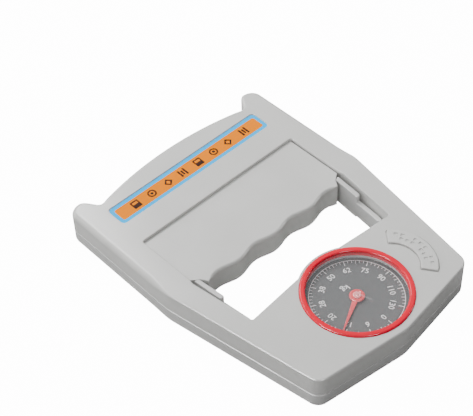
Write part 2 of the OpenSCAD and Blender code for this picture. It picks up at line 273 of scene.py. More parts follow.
def evaluated_mesh(source):
    bpy.context.view_layer.update()
    depsgraph = bpy.context.evaluated_depsgraph_get()
    return bpy.data.meshes.new_from_object(source.evaluated_get(depsgraph))


def boolean(target, tools, operation="DIFFERENCE"):
    """Apply each tool to the target in turn and remove the tools."""
    for tool in tools:
        modifier = target.modifiers.new("b", "BOOLEAN")
        modifier.object = tool
        modifier.operation = operation
        modifier.solver = "MANIFOLD"
        mesh = evaluated_mesh(target)
        target.modifiers.clear()
        old = target.data
        target.data = mesh
        mesh.name = target.name
        bpy.data.meshes.remove(old)
        bpy.data.objects.remove(tool, do_unlink=True)
    return target


def finish(piece, body, material, replaced=(), sharp=32, weld=0.004):
    """Clean the mesh, scale it to metres, shade it, parent it to its body and hide the CAD parts
    it replaces.
    """
    bm = bmesh.new()
    bm.from_mesh(piece.data)
    bmesh.ops.remove_doubles(bm, verts=bm.verts, dist=weld)
    bmesh.ops.dissolve_degenerate(bm, edges=bm.edges, dist=weld / 2)
    bmesh.ops.recalc_face_normals(bm, faces=bm.faces)
    ngons = [f for f in bm.faces if len(f.verts) > 4]
    bmesh.ops.triangulate(bm, faces=ngons, ngon_method="EAR_CLIP")
    bmesh.ops.scale(bm, vec=(MM, MM, MM), verts=bm.verts)
    bm.to_mesh(piece.data)
    bm.free()
    piece.data.shade_smooth()
    piece.data.set_sharp_from_angle(angle=math.radians(sharp))
    weighted = piece.modifiers.new("wn", "WEIGHTED_NORMAL")
    weighted.keep_sharp = True
    weighted.weight = 70
    piece.name = "shown_" + piece.name.split(".")[0]
    piece.data.materials.clear()
    piece.data.materials.append(material)
    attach(piece, body)
    if replaced:
        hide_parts(*replaced)
    return piece


# ---------------------------------------------------------------- shader helpers
def set_inputs(tree, node, inputs):
    """Link the inputs given as sockets and set the others."""
    for key, value in inputs.items():
        if isinstance(value, bpy.types.NodeSocket):
            tree.links.new(value, node.inputs[key])
        else:
            node.inputs[key].default_value = value


def add_node(tree, kind, inputs=None, **settings):
    node = tree.nodes.new(kind)
    for key, value in settings.items():  # settings first, as they choose the active sockets
        setattr(node, key, value)
    set_inputs(tree, node, inputs or {})
    return node


def map_range(tree, value, source, target=(0, 1)):
    return add_node(tree, "ShaderNodeMapRange", {
        "Value": value, "From Min": source[0], "From Max": source[1],
        "To Min": target[0], "To Max": target[1]}).outputs["Result"]


def calculate(tree, operation, a, b, clamp=False):
    return add_node(tree, "ShaderNodeMath", {0: a, 1: b}, operation=operation,
                    use_clamp=clamp).outputs["Value"]


def noise(tree, vector, scale, detail):
    return add_node(tree, "ShaderNodeTexNoise", {
        "Vector": vector, "Scale": scale, "Detail": detail}).outputs["Fac"]


def mix_colour(tree, factor, a, b):
    return add_node(tree, "ShaderNodeMix", {"Factor": factor, "A": a, "B": (*b, 1)},
                    data_type="RGBA").outputs["Result"]


def srgb(*channels):
    """sRGB channels as a linear colour."""
    return tuple(x / 12.92 if x <= 0.04045 else ((x + 0.055) / 1.055) ** 2.4 for x in channels)


# ---------------------------------------------------------------- materials
BUMP_DEPTH = 0.00004    # m
COAT_ROUGHNESS = 0.12
DUST_COLOUR = srgb(0.62, 0.6, 0.57)


def material(name, colour, rough=0.4, metal=0.0, vary=0.05, cloud=45.0, grain=2600.0, bump=0.05,
             streak=None, coat=0.0, spec=0.5, alpha=1.0, wear=0.0, worn=None, dust=0.0, seed=0.0):
    """A surface with cloudy colour, fine grain and optional dust specks and scratches.

    vary: depth of the colour clouds; cloud, grain: noise scales; bump: grain strength;
    streak: grain stretch per axis; wear, worn: scratch amount and colour; dust: speck amount;
    seed: shifts the grain and turns the scratches. Colours are linear.
    """
    new = bpy.data.materials.new(name)
    new.use_nodes = True
    tree = new.node_tree
    coords = add_node(tree, "ShaderNodeTexCoord").outputs["Object"]
    shift = {"Vector": coords, "Location": (seed, seed * 0.37, seed * 0.11)}
    if streak:
        shift["Scale"] = streak
    shifted = add_node(tree, "ShaderNodeMapping", shift).outputs["Vector"]
    clouds = noise(tree, coords, scale=cloud, detail=5)
    grains = noise(tree, shifted, scale=grain, detail=3)

    ramp = add_node(tree, "ShaderNodeValToRGB", {"Fac": clouds})
    dark, bright = ramp.color_ramp.elements
    dark.position = 0.3
    dark.color = (*[x * (1 - vary) for x in colour], 1)
    bright.position = 0.72
    bright.color = (*[min(1, x * (1 + vary * 0.6)) for x in colour], 1)
    base = ramp.outputs["Color"]
    if dust > 0:
        specks = noise(tree, coords, scale=700, detail=6)
        amount = map_range(tree, specks, source=(0.58, 0.8), target=(0, dust))
        base = mix_colour(tree, amount, base, DUST_COLOUR)
    if wear > 0:
        # Scratches are the cell edges of a stretched pattern, shown only in bright clouds
        stretched = add_node(tree, "ShaderNodeMapping", {
            "Vector": coords, "Scale": (1.0, 0.16, 1.0), "Rotation": (0, 0, 0.5 + seed)})
        cells = add_node(tree, "ShaderNodeTexVoronoi", {
            "Vector": stretched.outputs["Vector"], "Scale": 85}, feature="DISTANCE_TO_EDGE")
        scratches = map_range(tree, cells.outputs["Distance"], source=(0, 0.012), target=(wear, 0))
        patches = map_range(tree, clouds, source=(0.55, 0.7))
        base = mix_colour(tree, calculate(tree, "MULTIPLY", scratches, patches), base, worn)

    bumps = add_node(tree, "ShaderNodeBump", {
        "Strength": bump, "Distance": BUMP_DEPTH, "Height": grains})
    set_inputs(tree, tree.nodes["Principled BSDF"], {
        "Base Color": base,
        "Roughness": map_range(tree, grains if streak else clouds, source=(0.3, 0.7),
                               target=(max(0.02, rough * 0.82), min(1, rough * 1.2))),
        "Normal": bumps.outputs["Normal"],
        "Metallic": metal,
        "Specular IOR Level": spec,
        "Coat Weight": coat,
        "Coat Roughness": COAT_ROUGHNESS,
        "Alpha": alpha,
    })
    return new


GLOSSY_WHITE = srgb(0.80, 0.80, 0.79)
MATT_WHITE = srgb(0.77, 0.77, 0.765)

CASE = material("case_front", GLOSSY_WHITE, rough=0.17, vary=0.03, bump=0.14, grain=3400,
                wear=0.12, worn=srgb(0.66, 0.66, 0.65), dust=0.05)
BACK = material("case_back", MATT_WHITE, rough=0.4, vary=0.035, bump=0.35, grain=3000,
                wear=0.15, worn=srgb(0.6, 0.6, 0.59), dust=0.06, seed=1.3)
HANDLE = material("handle_plastic", GLOSSY_WHITE, rough=0.2, vary=0.03, bump=0.18, grain=3600,
                  wear=0.14, worn=srgb(0.68, 0.68, 0.67), dust=0.04, seed=2.1)
INNER = material("handle_inner", MATT_WHITE, rough=0.42, vary=0.04, bump=0.3, grain=3000,
                 dust=0.05, seed=3.7)
BADGE = material("badge", GLOSSY_WHITE, rough=0.4, vary=0.03, bump=0.25, grain=3400,
                 dust=0.05, seed=0.4)
BEZEL = material("bezel_red", (0.78, 0.0, 0.028), rough=0.18, spec=0.22, vary=0.06, bump=0.1,
                 grain=2400, wear=0.06, worn=srgb(0.98, 0.4, 0.42), seed=4.2)
RIM = material("dial_rim", srgb(0.74, 0.755, 0.75), rough=0.4, vary=0.04, bump=0.15, seed=5.0)
PRINT = material("dial_print", srgb(0.93, 0.93, 0.93), rough=0.5, bump=0.1, cloud=400, seed=5.5)
POINTER = material("pointer_red", (0.85, 0.03, 0.045), rough=0.32, vary=0.07, bump=0.12,
                   cloud=160, coat=0.2, seed=6.1)
HUB = material("pointer_hub", (1.0, 0.30, 0.30), rough=0.25, vary=0.06, bump=0.1, cloud=260,
               coat=0.3, seed=6.6)
ORANGE = material("label", (0.88, 0.235, 0.0), spec=0.0, rough=0.5, bump=0.12, cloud=70,
                  grain=2800, wear=0.12, worn=srgb(1, 0.72, 0.32), seed=7.3)
BLUE = material("label_border", (0.0, 0.47, 1.0), spec=0.0, rough=0.5, bump=0.12, cloud=70,
                seed=7.9)
MARKS = material("label_print", (0.035, 0.008, 0.002), spec=0.1, rough=0.5, vary=0.12,
                 bump=0.12, cloud=300, seed=8.4)
LENS = material("lens", srgb(0.97, 0.985, 1.0), rough=0.05, vary=0.01, bump=0.01, alpha=0.035,
                seed=9.0)
CLEAR = material("reset_clear", srgb(0.93, 0.95, 0.96), rough=0.08, vary=0.03, bump=0.02,
                 alpha=0.06, seed=9.4)
BRASS = material("brass", srgb(0.83, 0.68, 0.36), rough=0.3, metal=1, vary=0.1, grain=900,
                 streak=(1, 9, 1), bump=0.12, seed=10.2)
BRONZE = material("bearing_bronze", srgb(0.72, 0.5, 0.3), rough=0.34, metal=1, vary=0.12,
                  grain=1400, bump=0.15, seed=10.8)
STEEL = material("plate_steel", srgb(0.68, 0.68, 0.7), rough=0.3, metal=1, vary=0.08, grain=700,
                 streak=(9, 1, 1), bump=0.12, seed=11.4)
SHAFT = material("shaft_steel", srgb(0.76, 0.76, 0.78), rough=0.18, metal=1, vary=0.07,
                 grain=1100, streak=(8, 8, 1), bump=0.06, seed=12.2)
SCREW = material("screw_steel", srgb(0.66, 0.66, 0.68), rough=0.28, metal=1, vary=0.12,
                 cloud=500, bump=0.15, seed=12.9)
RIVET = material("rivet_steel", srgb(0.6, 0.6, 0.62), rough=0.36, metal=1, vary=0.12,
                 cloud=500, bump=0.2, seed=13.3)
SPRING = material("spring_steel", srgb(0.52, 0.53, 0.56), rough=0.26, metal=1, vary=0.14,
                  cloud=220, bump=0.12, seed=14.0)
DARK = material("dark_plastic", srgb(0.15, 0.15, 0.16), rough=0.5, vary=0.15, bump=0.35,
                seed=14.6)


def dial_material():
    """Mid grey, with a darker band from radius 21.2 to 23.2 mm outwards."""
    new = material("dial_face", srgb(0.275, 0.28, 0.28), rough=0.5, bump=0.25, grain=3200,
                   seed=15.1)
    tree = new.node_tree
    base = tree.nodes["Principled BSDF"].inputs["Base Color"]
    coords = add_node(tree, "ShaderNodeTexCoord").outputs["Object"]
    offset = add_node(tree, "ShaderNodeVectorMath", {
        0: coords, 1: (0, DIAL_Y * MM, DIAL_TOP_Z * MM)}, operation="SUBTRACT")
    radius = add_node(tree, "ShaderNodeVectorMath", {0: offset.outputs["Vector"]},
                      operation="LENGTH").outputs["Value"]
    band = map_range(tree, radius, source=(0.0212, 0.0232), target=(0, 0.8))
    banded = mix_colour(tree, band, base.links[0].from_socket, srgb(0.17, 0.175, 0.18))
    tree.links.new(banded, base)
    return new


DIAL = dial_material()


# ---------------------------------------------------------------- case
def case_outline():
    """Right half from the -Y end up to the +Y end, mirrored in x and subdivided."""
    tip = [(0, -83.5), (2.0, -83.42), (5, -83.0)]
    corner = arc(44.6, -70.96, 6.5, -82.4, -9.25, 12)
    side = rounded([(51.0, -71.96), (64.2, 9), (63.5, 77)], [0, 34, 0], 10)[1:-1]
    horn = arc(57, 77, 6.5, 2, 104, 16)
    blend = [(53.9, 82.2), (52.8, 80.9), (51.7, 79.2), (50.7, 77.5), (49.7, 76.0),
             (48.5, 75.15), (46.9, 75.1)]
    end_xs = [44 - 44 * k / 16 for k in range(17)]
    end_arc = [(x, -108.8 + math.sqrt(190 * 190 - x * x)) for x in end_xs]
    half = tip + corner + side + horn + blend + end_arc
    return clean(subdivided(clean(half + [(-x, y) for x, y in half[-2:0:-1]]), 3.2))


OUTLINE = case_outline()
LABEL_POCKET_Z = 19.5
WINDOW_FOOT = arc(0, DIAL_Y, 28.5, 119, 61, 24)    # window edge curving round the dial

# Badge beside the dial: a curved band about its own centre
BADGE_X, BADGE_Y = 23.6, -53
BADGE_OUTER, BADGE_INNER = 21.5, 13.4


def badge_outline():
    def at(radius, degrees):
        return polar(BADGE_X, BADGE_Y, radius, degrees)

    points = [at(BADGE_OUTER, -56)] + arc(BADGE_X, BADGE_Y, BADGE_OUTER, -52, 46, 40)
    points += [at(BADGE_OUTER, 50), at(BADGE_INNER, 50)]
    points += arc(BADGE_X, BADGE_Y, BADGE_INNER, 46, -52, 40) + [at(BADGE_INNER, -56)]
    return clean(rounded(points, [0.8] + [0] * 41 + [0.8, 0.8] + [0] * 41 + [0.8], 5))


BADGE_OUTLINE = badge_outline()


def solid_parts(z0, z1):
    """What stays solid inside: walls round the window and handle bay, and the screw posts."""
    wall = [(52.9, 4.6), (-52.9, 4.6), (-48.2, -32.4)]
    wall += arc(0, DIAL_Y, 27.2, 118, 62, 24) + [(48.2, -32.4)]
    parts = [prism(wall, z0, z1), prism(box(-52.8, 4.5, 52.8, 90), z0 + 0.01, z1 - 0.01)]
    return parts + [prism(circle(x, y, 2.7, 32), z0 + 0.02, z1 - 0.02) for x, y in CASE_SCREWS]


def inset_block(inset, z0, z1):
    loop = grow(OUTLINE, -inset)
    return loft([(loop, z0), (loop, z1)])


def cavity(z0, z1):
    return boolean(inset_block(2.2, z0, z1), solid_parts(z0 - 1, z1 + 1))


def handle_bay(z0, z1):
    bay_box = prism(box(-50.8, 4.5, 50.8, 75.4), z0 - 1, z1 + 1)
    return boolean(inset_block(2.4, z0, z1), [bay_box], "INTERSECT")


def edge_radii(base, sides, end):
    """Edge radius per point: larger on the sides above y = 6, and on the middle of the +Y end."""
    radii = []
    for x, y in OUTLINE:
        outward = smooth(50, 60, abs(x))
        radii.append(base + sides * smooth(6, 22, y) * outward
                     + end * smooth(66, 74, y) * (1 - outward))
    return radii


def front_shell():
    rings = [(grow(OUTLINE, -0.42), SEAM_Z + 0.02), (OUTLINE, SEAM_Z + 0.42)]
    rings += fillet_rings(OUTLINE, FACE_Z, edge_radii(0.95, 1.9, 0.5), True, 8)
    shell = loft(rings, "case_front")
    window = [(50.9, 4.6), (50.4, 8.0), (50.4, 41.4), (-50.4, 41.4), (-50.4, 8.0), (-50.9, 4.6),
              (-46.2, -30.4)] + WINDOW_FOOT + [(46.2, -30.4)]
    window_radii = [0, 0, 1.2, 1.2, 0, 0, 1.0] + [0] * 25 + [1.0]
    cuts = [
        cavity(SEAM_Z - 2, 18.0),
        handle_bay(SEAM_Z - 2.5, 18.6),
        flared_cutter(rounded(window, window_radii, 6), SEAM_Z - 3, FACE_Z, 0.55),
        flared_cutter(circle(0, DIAL_Y, 27.2, 160), SEAM_Z - 3.3, FACE_Z, 0.25),
        # label pocket
        flared_cutter(box(-49.5, 56.3, 49.5, 69.0, 2.2, 8), LABEL_POCKET_Z, FACE_Z, 0.22, 4),
        # notch in the wall on the -X side of the window
        prism(box(-54.4, 16, -50.2, 47), SEAM_Z - 3, 12.4),
        # badge recess, with a gap all round
        prism(grow(BADGE_OUTLINE, 0.62), 19.1, 21.5),
    ]
    cuts += [prism(circle(x, y, 1.05, 24), SEAM_Z - 4, SEAM_Z + 7) for x, y in CASE_SCREWS]
    boolean(shell, cuts)
    finish(shell, "case", CASE, ["front_shell"])


def back_window_cutter():
    """The back opening, which stops at y = 6.6; its mouth at z = 0 flares to a rounded edge."""
    flare = 0.7
    loop = [(50.9, 6.6), (-50.9, 6.6), (-50.9, 4.6), (-46.2, -30.4)] + WINDOW_FOOT
    loop += [(46.2, -30.4), (50.9, 4.6)]
    loop = clean(rounded(loop, [1, 1, 0, 1] + [0] * 25 + [1, 0], 6))
    rings = [(grow(loop, 0.9), -2.0)]
    for k in range(6):
        a = math.pi / 2 * k / 5
        rings.append((grow(loop, flare * (1 - math.sin(a))), flare - flare * math.cos(a)))
    return loft(rings + [(loop, SEAM_Z + 3)])


def back_shell():
    rings = fillet_rings(OUTLINE, 0.0, edge_radii(2.0, 0.8, 0), False, 8)
    rings += [(OUTLINE, SEAM_Z - 0.34), (grow(OUTLINE, -0.34), SEAM_Z - 0.02)]
    shell = loft(rings, "case_back")
    hollow = cavity(2.0, SEAM_Z + 2)
    posts = [(9.5, -44), (9.5, -61), (-10.8, -60.8)]
    boolean(hollow, [prism(circle(x, y, 2.2, 24), 0.5, 4.2) for x, y in posts])
    cuts = [hollow, handle_bay(2.02, SEAM_Z + 2.5), back_window_cutter()]
    for x, y in CASE_SCREWS:    # hole and counterbore
        cuts.append(prism(circle(x, y, 1.3, 24), -1, SEAM_Z + 3.2))
        cuts.append(prism(circle(x, y, 2.3, 40), -1.2, 2.1))
    # a shallow rectangular recess, and five grooves behind the dial
    cuts.append(prism(box(-24, 30, 24, 52, 2, 6), -1.4, 0.35))
    for k in range(5):
        groove = box(-14, -44.2 - 5 * k, 14, -42.8 - 5 * k, 0.65, 5)
        cuts.append(prism(groove, -1.5 - 0.01 * k, 0.5))
    boolean(shell, cuts)
    finish(shell, "case", BACK, ["back_shell"])


# ---------------------------------------------------------------- label
MARK_XS = [-36.3, -25.9, -15, -5.3, 5.3, 15.8, 25.8, 37]
MARK_Y = 62.5


def label():
    border = prism(box(-49.3, 56.5, 49.3, 68.8, 2.0, 8), LABEL_POCKET_Z, 19.60,
                   name="label_border")
    finish(border, "case", BLUE)
    band = prism(box(-47.4, 58.4, 47.4, 66.6, 1.2, 6), 19.59, 19.64, name="label_band")
    finish(band, "case", ORANGE, ["label_plate"])


def mark(outline, hole=None):
    shape = prism(outline, 19.63, 19.68)
    if hole:
        boolean(shape, [prism(hole, 19, 20.5)])
    return shape


def centred_box(x, y, half_width, half_height, radius):
    return box(x - half_width, y - half_height, x + half_width, y + half_height, radius)


def diamond(x, y, half_width, half_height, radius, steps):
    points = [(x, y - half_height), (x + half_width, y), (x, y + half_height),
              (x - half_width, y)]
    return rounded(points, [radius] * 4, steps)


def label_marks():
    """A row of plain shapes: framed box, ringed dot, diamond and three bars, twice over."""
    marks = []
    y = MARK_Y
    for k, x in enumerate(MARK_XS):
        if k % 4 == 0:
            marks.append(mark(centred_box(x, y, 2.3, 2.5, 0.5),
                              centred_box(x, y + 0.9, 1.6, 0.8, 0.2)))
        elif k % 4 == 1:
            marks.append(mark(circle(x, y, 2.4, 40), circle(x, y, 1.6, 40)))
            marks.append(mark(circle(x, y, 0.8, 24)))
        elif k % 4 == 2:
            marks.append(mark(diamond(x, y, 2.5, 2.6, 0.3, 4), diamond(x, y, 1.3, 1.4, 0.1, 3)))
        else:
            for j, half_height in ((-1, 2.5), (0, 1.7), (1, 2.5)):
                marks.append(mark(centred_box(x + 1.6 * j, y, 0.5, half_height, 0.3)))
    finish(join("label_marks", marks), "case", MARKS, ["label_marks"])


def side_badge():
    """The raised badge, with two curved rows of small pits and some places left out."""
    badge = prism(BADGE_OUTLINE, 19.11, 20.86, top=0.22, name="side_badge")
    corners = ((-1, -1), (1, -1), (1, 1), (-1, 1))
    half_length, half_angle = 0.9, 0.055    # mm along the radius, radians around it
    pits = []
    for k in range(9):
        a = math.radians(-44 + 10.2 * k)
        for r in (16.2, 18.8):
            if (k * 7 + int(r)) % 4 == 0:
                continue
            pit = [(BADGE_X + (r + u * half_length) * math.cos(a + v * half_angle),
                    BADGE_Y + (r + u * half_length) * math.sin(a + v * half_angle))
                   for u, v in corners]
            pits.append(prism(rounded(pit, [0.35] * 4, 4), 20.42, 21.5))
    boolean(badge, [join("pits", pits)])
    finish(badge, "case", BADGE, ["side_badge"])


# ---------------------------------------------------------------- dial; profiles are (radius, z)
PRINT_Z0, PRINT_Z1 = 15.79, 15.845
SCALE_RADIUS = 22.4      # outer end of the tick marks
NUMBER_RADIUS = 16.6
NUMBERS = [0, 6, 13, 20, 28, 38, 50, 62, 75, 90, 110, 130]    # every 30 degrees, clockwise


def dial_rim():
    profile = [(21.2, 14.6), (26.35, 14.6), (26.4, 14.7), (26.4, 17.1), (26.3, 17.2),
               (25.1, 17.2), (24.85, 17.05), (24.6, 16.5), (24.55, 16.0), (24.55, 15.09),
               (21.2, 15.09)]
    finish(revolve(profile, name="dial_rim"), "case", RIM, ["dial_rim"], sharp=40)


def dial_plate():
    profile = [(1.6, 15.1), (24.4, 15.1), (24.5, 15.2), (24.5, 15.7), (24.4, DIAL_TOP_Z),
               (1.75, DIAL_TOP_Z), (1.6, 15.7)]
    finish(revolve(profile, name="dial_plate"), "case", DIAL, ["dial_plate"],
           sharp=40)


def text(body, x, y, rotation, size, bold):
    """Printed text as a mesh; bold swells the strokes."""
    curve = bpy.data.curves.new("t", "FONT")
    curve.body = body
    curve.size = size
    curve.align_x = "CENTER"
    curve.align_y = "CENTER"
    curve.extrude = (PRINT_Z1 - PRINT_Z0) / 2
    curve.offset = bold
    curve.resolution_u = 5
    source = bpy.data.objects.new("t", curve)
    COLLECTION.objects.link(source)
    source.location = (x, y, (PRINT_Z0 + PRINT_Z1) / 2)
    source.rotation_euler = (0, 0, rotation)
    mesh = evaluated_mesh(source)
    mesh.transform(source.matrix_world)
    bm = bmesh.new()
    bm.from_mesh(mesh)
    bmesh.ops.remove_doubles(bm, verts=bm.verts, dist=0.0005)
    bm.to_mesh(mesh)
    bm.free()
    bpy.data.objects.remove(source, do_unlink=True)
    printed = bpy.data.objects.new("t", mesh)
    COLLECTION.objects.link(printed)
    return printed


def dial_scale():
    prints = [revolve([(22.36, PRINT_Z0), (22.64, PRINT_Z0), (22.64, 15.84), (22.36, 15.84)])]
    for k in range(67):    # a tick every 5 degrees, longer every 15 and longest every 30
        length = 2.7 if k % 6 == 0 else 1.9 if k % 3 == 0 else 1.35
        half_width = 0.17 if k % 6 == 0 else 0.12
        tick = box(SCALE_RADIUS - length, -half_width, SCALE_RADIUS, half_width)
        prints.append(prism(turned(-90 - 5 * k, tick), PRINT_Z0, PRINT_Z1 - 0.002))
    for i, number in enumerate(NUMBERS):
        degrees = -90 - 30 * i
        x, y = polar(0, DIAL_Y, NUMBER_RADIUS, degrees)
        rotation = math.radians(degrees) - math.pi / 2
        prints.append(text(str(number), x, y, rotation, size=4.0, bold=0.02))
    prints.append(text("kg", 0, DIAL_Y + 7.4, math.pi, size=4.4, bold=0.03))
    finish(join("dial_scale", prints), "case", PRINT, ["dial_scale"],
           sharp=30, weld=0.0006)


def bezel_ring():
    profile = [(24.8, 17.25), (26.9, 17.25), (27.1, 17.5), (27.1, 19.9)]
    profile += arc(26.3, 20.0, 0.8, 0, 90, 9) + arc(25.1, 19.9, 0.9, 90, 180, 9)
    profile += [(24.2, 20.06), (24.8, 20.06), (24.8, 19.24), (24.25, 19.24), (24.2, 19.0),
                (24.2, 17.6), (24.4, 17.4)]
    profile = [p for i, p in enumerate(profile) if i == 0 or math.dist(p, profile[i - 1]) > 0.02]
    finish(revolve(profile, 224, "bezel_ring"), "bezel", BEZEL, ["bezel_ring"],
           sharp=34)


def dial_lens():
    profile = [(0, 19.25), (24.65, 19.25), (24.75, 19.3), (24.75, 20.0), (24.65, 20.05),
               (20, 20.05), (0, 20.05)]
    finish(disc(profile, name="dial_lens"), "bezel", LENS, ["dial_lens"], sharp=30)


def reset_finger():
    """A clear finger under the lens, with a hub on the axis and a pin near its outer end."""
    degrees = -75
    outline = rounded([(-0.9, -0.55), (6.4, -0.4), (8.1, -0.55), (8.1, 0.55), (6.4, 0.4),
                       (-0.9, 0.55)], [0.4, 1, 0.4, 0.4, 1, 0.4], 4)
    finger = prism(turned(degrees, outline), 18.31, 18.8, top=0.12, bottom=0.12, steps=3,
                   name="reset_finger")
    hub = disc([(0, 18.3), (0.9, 18.3), (1.0, 18.4), (1.0, 19.1), (1.1, 19.26), (0, 19.26)], 32)
    pin = prism(circle(*polar(0, DIAL_Y, 7.4, degrees), 0.45, 24), 16.72, 18.5, bottom=0.15,
                steps=3)
    boolean(finger, [hub, pin], "UNION")
    finish(finger, "bezel", CLEAR, ["reset_finger"], sharp=34)


def pointer():
    hub = revolve([(1.28, 16.4), (3.6, 16.4), (3.7, 16.5), (3.7, 17.0), (3.55, 17.16),
                   (3.1, 17.2), (2.7, 17.2), (2.55, 17.08), (2.2, 17.08), (1.28, 17.08)],
                  96, "pointer")
    outline = [(0, -1.55), (3.0, -1.25), (12, -0.72), (20.0, -0.34), (22.0, -0.2), (22.3, 0),
               (22.0, 0.2), (20.0, 0.34), (12, 0.72), (3.0, 1.25), (0, 1.55)]
    blade = prism(turned(-153.5, outline), 16.42, 16.98, top=0.07, steps=2)
    boolean(blade, [prism(circle(0, DIAL_Y, 2.6, 64), 15, 19)])
    boolean(hub, [blade], "UNION")
    finish(hub, "pointer", POINTER, ["pointer"], sharp=30)


def pointer_cap():
    profile = [(0, 17.21), (1.9, 17.21), (2.0, 17.3), (2.0, 17.42), (1.85, 17.55), (1.5, 17.6),
               (1.15, 17.56), (1.0, 17.5), (0.8, 17.5), (0.72, 17.62), (0.5, 17.72),
               (0.25, 17.77), (0, 17.78)]
    finish(disc(profile, 64, "pointer_cap"), "pointer", HUB, ["pointer_cap"],
           sharp=34)


# ---------------------------------------------------------------- handle
WAVE_LOW_Y = 1.0        # lowest y of the wavy -Y edge
WAVE_HEIGHT = 1.15      # amplitude
WAVE_PITCH = 24.2


def wavy_edge():
    xs = [-45 + 90 * k / 150 for k in range(151)][2:-2]
    return [(x, WAVE_LOW_Y + WAVE_HEIGHT - WAVE_HEIGHT * math.cos(2 * math.pi * x / WAVE_PITCH))
            for x in xs]


def handle_grip():
    """The top plate, with a wall under its wavy edge, ribs and two screw bosses."""
    plate_loop = clean([(-45.9, 5.2)] + wavy_edge() + [
        (45.9, 5.2), (50.0, 8.2), (50.0, 47), (-50.0, 47), (-50.0, 8.2)])
    plate_radii = [0.3 + (1.15 * (1 - smooth(40.0, 43.0, abs(x))) if y < 4.8 else 0)
                   for x, y in plate_loop]
    plate = loft([(plate_loop, 16.4)] + fillet_rings(plate_loop, 18.4, plate_radii, True, 7),
                 "handle_grip")
    wall_loop = clean(wavy_edge() + [(44.3, 9.0), (-44.3, 9.0)])
    wall_radii = [0.15 + (0.7 * (1 - smooth(39, 42, abs(x))) if y < 5 else 0)
                  for x, y in wall_loop]
    parts = [loft(fillet_rings(wall_loop, 5.0, wall_radii, False, 5) + [(wall_loop, 16.5)])]
    parts += [prism(box(x - 1, 7.5, x + 1, 26, 0.3, 3), 12, 16.6) for x in (-33, 0, 33)]
    parts += [prism(circle(x, y, 3, 40), 12.5, 16.7) for x, y in HANDLE_SCREWS]
    boolean(plate, parts, "UNION")
    boolean(plate, [prism(circle(x, y, 1.05, 24), 8, 16.2) for x, y in HANDLE_SCREWS])
    finish(plate, "handle", HANDLE, ["handle_grip"], sharp=36)


# Parts of the +X leg, mirrored for the other: outline, corner radii, corner steps,
# bottom z, top z, fillets
LEG_PARTS = [
    ([(46.8, 4), (50, 4), (50, 28), (46.8, 28)], [0.3] * 4, 3, 4.1, 12.3, {}),
    ([(46.45, 7.2), (48.95, 7.2), (47.4, -9.4), (46.8, -10.4), (45.1, -10.4), (44.85, -9.4)],
     [0.65, 0.65, 0.6, 0.6, 0.5, 0.5], 5, 3.7, 16.25, {"top": 0.3, "bottom": 0.5, "steps": 5}),
    ([(46.25, 5.1), (48.75, 6.75), (47.4, -9.4), (46.8, -10.4), (45.1, -10.4), (44.85, -9.4)],
     [0.45, 0.5, 0.5, 0.5, 0.45, 0.45], 5, 12.0, 18.5, {"top": 0.38, "steps": 5}),
    ([(45.0, -8.0), (47.3, -8.0), (46.3, -23.8), (45.5, -27.1), (43.95, -27.1), (43.2, -25.6)],
     [0.8, 0.8, 1.8, 0.9, 0.75, 0.8], 7, 4.5, 14.4, {"top": 0.7, "bottom": 0.7, "steps": 6}),
]

# Springs along Y, between the handle crossbar and the case
SPRING_XS = {"spring_left": -22, "spring_right": 22}
SPRING_Z = 10
CROSSBAR_END_Y = 31.4    # +Y side of the crossbar
SPRING_END_Y = 73.4      # fixed end
SPRING_LENGTH = 41.2


def handle_frame():
    """The crossbar across the case with a leg at each end."""
    bar = prism(box(-49.9, 26.2, 49.9, CROSSBAR_END_Y, 0.5), 4, 12.4, top=0.35, bottom=0.35,
                steps=3, name="handle_frame")
    legs = []
    for side in (-1, 1):
        for outline, radii, steps, z0, z1, fillets in LEG_PARTS:
            loop = rounded([(side * x, y) for x, y in outline], radii, steps)
            legs.append(prism(loop, z0, z1, **fillets))
    boolean(bar, legs, "UNION")
    cuts = [prism(circle(x, y, 1.3, 24), 0, 20) for x, y in HANDLE_SCREWS]
    # pocket with a small hole at the -X end
    cuts += [prism(box(-51, 26, -40.8, 32), 11.0, 17), prism(circle(-44, 28.8, 0.9, 24), 8, 14)]
    cuts += [prism(circle(x, y, 2.3, 32), 0, 6.0) for x, y in HANDLE_SCREWS]
    for x in SPRING_XS.values():    # spring seats, lying along Y
        seat = prism(circle(0, 0, 3.2, 40), -1.2, 2.4)
        place = Matrix.Translation(Vector((x, CROSSBAR_END_Y, SPRING_Z)))
        seat.data.transform(place @ Matrix.Rotation(math.radians(90), 4, "X"))
        cuts.append(seat)
    boolean(bar, cuts)
    finish(bar, "handle", INNER, ["handle_frame"], sharp=36)


def spring(name, centre_x):
    """A coil whose first and last turns are closely wound."""
    turns, close_pitch = 10, 2.55
    wire_radius, coil_radius = 1.25, 4.8
    per_turn, sides = ((24, 12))
    start_y = SPRING_END_Y - SPRING_LENGTH + wire_radius
    length = SPRING_LENGTH - 2 * wire_radius
    steps = turns * per_turn
    verts, faces = [], []
    for k in range(steps + 1):
        turn = k / per_turn
        a = 2 * math.pi * turn
        if turn < 1:
            y = turn * close_pitch
        elif turn > turns - 1:
            y = length - (turns - turn) * close_pitch
        else:
            y = close_pitch + (turn - 1) / (turns - 2) * (length - 2 * close_pitch)
        for j in range(sides):
            b = 2 * math.pi * j / sides
            r = coil_radius + wire_radius * math.cos(b)
            verts.append((centre_x + r * math.cos(a), start_y + y + wire_radius * math.sin(b),
                          SPRING_Z + r * math.sin(a)))
    for k in range(steps):
        here, beyond = k * sides, (k + 1) * sides
        for j in range(sides):
            i = (j + 1) % sides
            faces.append((here + j, beyond + j, beyond + i, here + i))
    faces.append(tuple(range(sides)))
    faces.append(tuple(steps * sides + j for j in range(sides - 1, -1, -1)))
    coil = finish(make_object(name, verts, faces), "case", SPRING, [name],
                  sharp=50)
    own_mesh(coil)


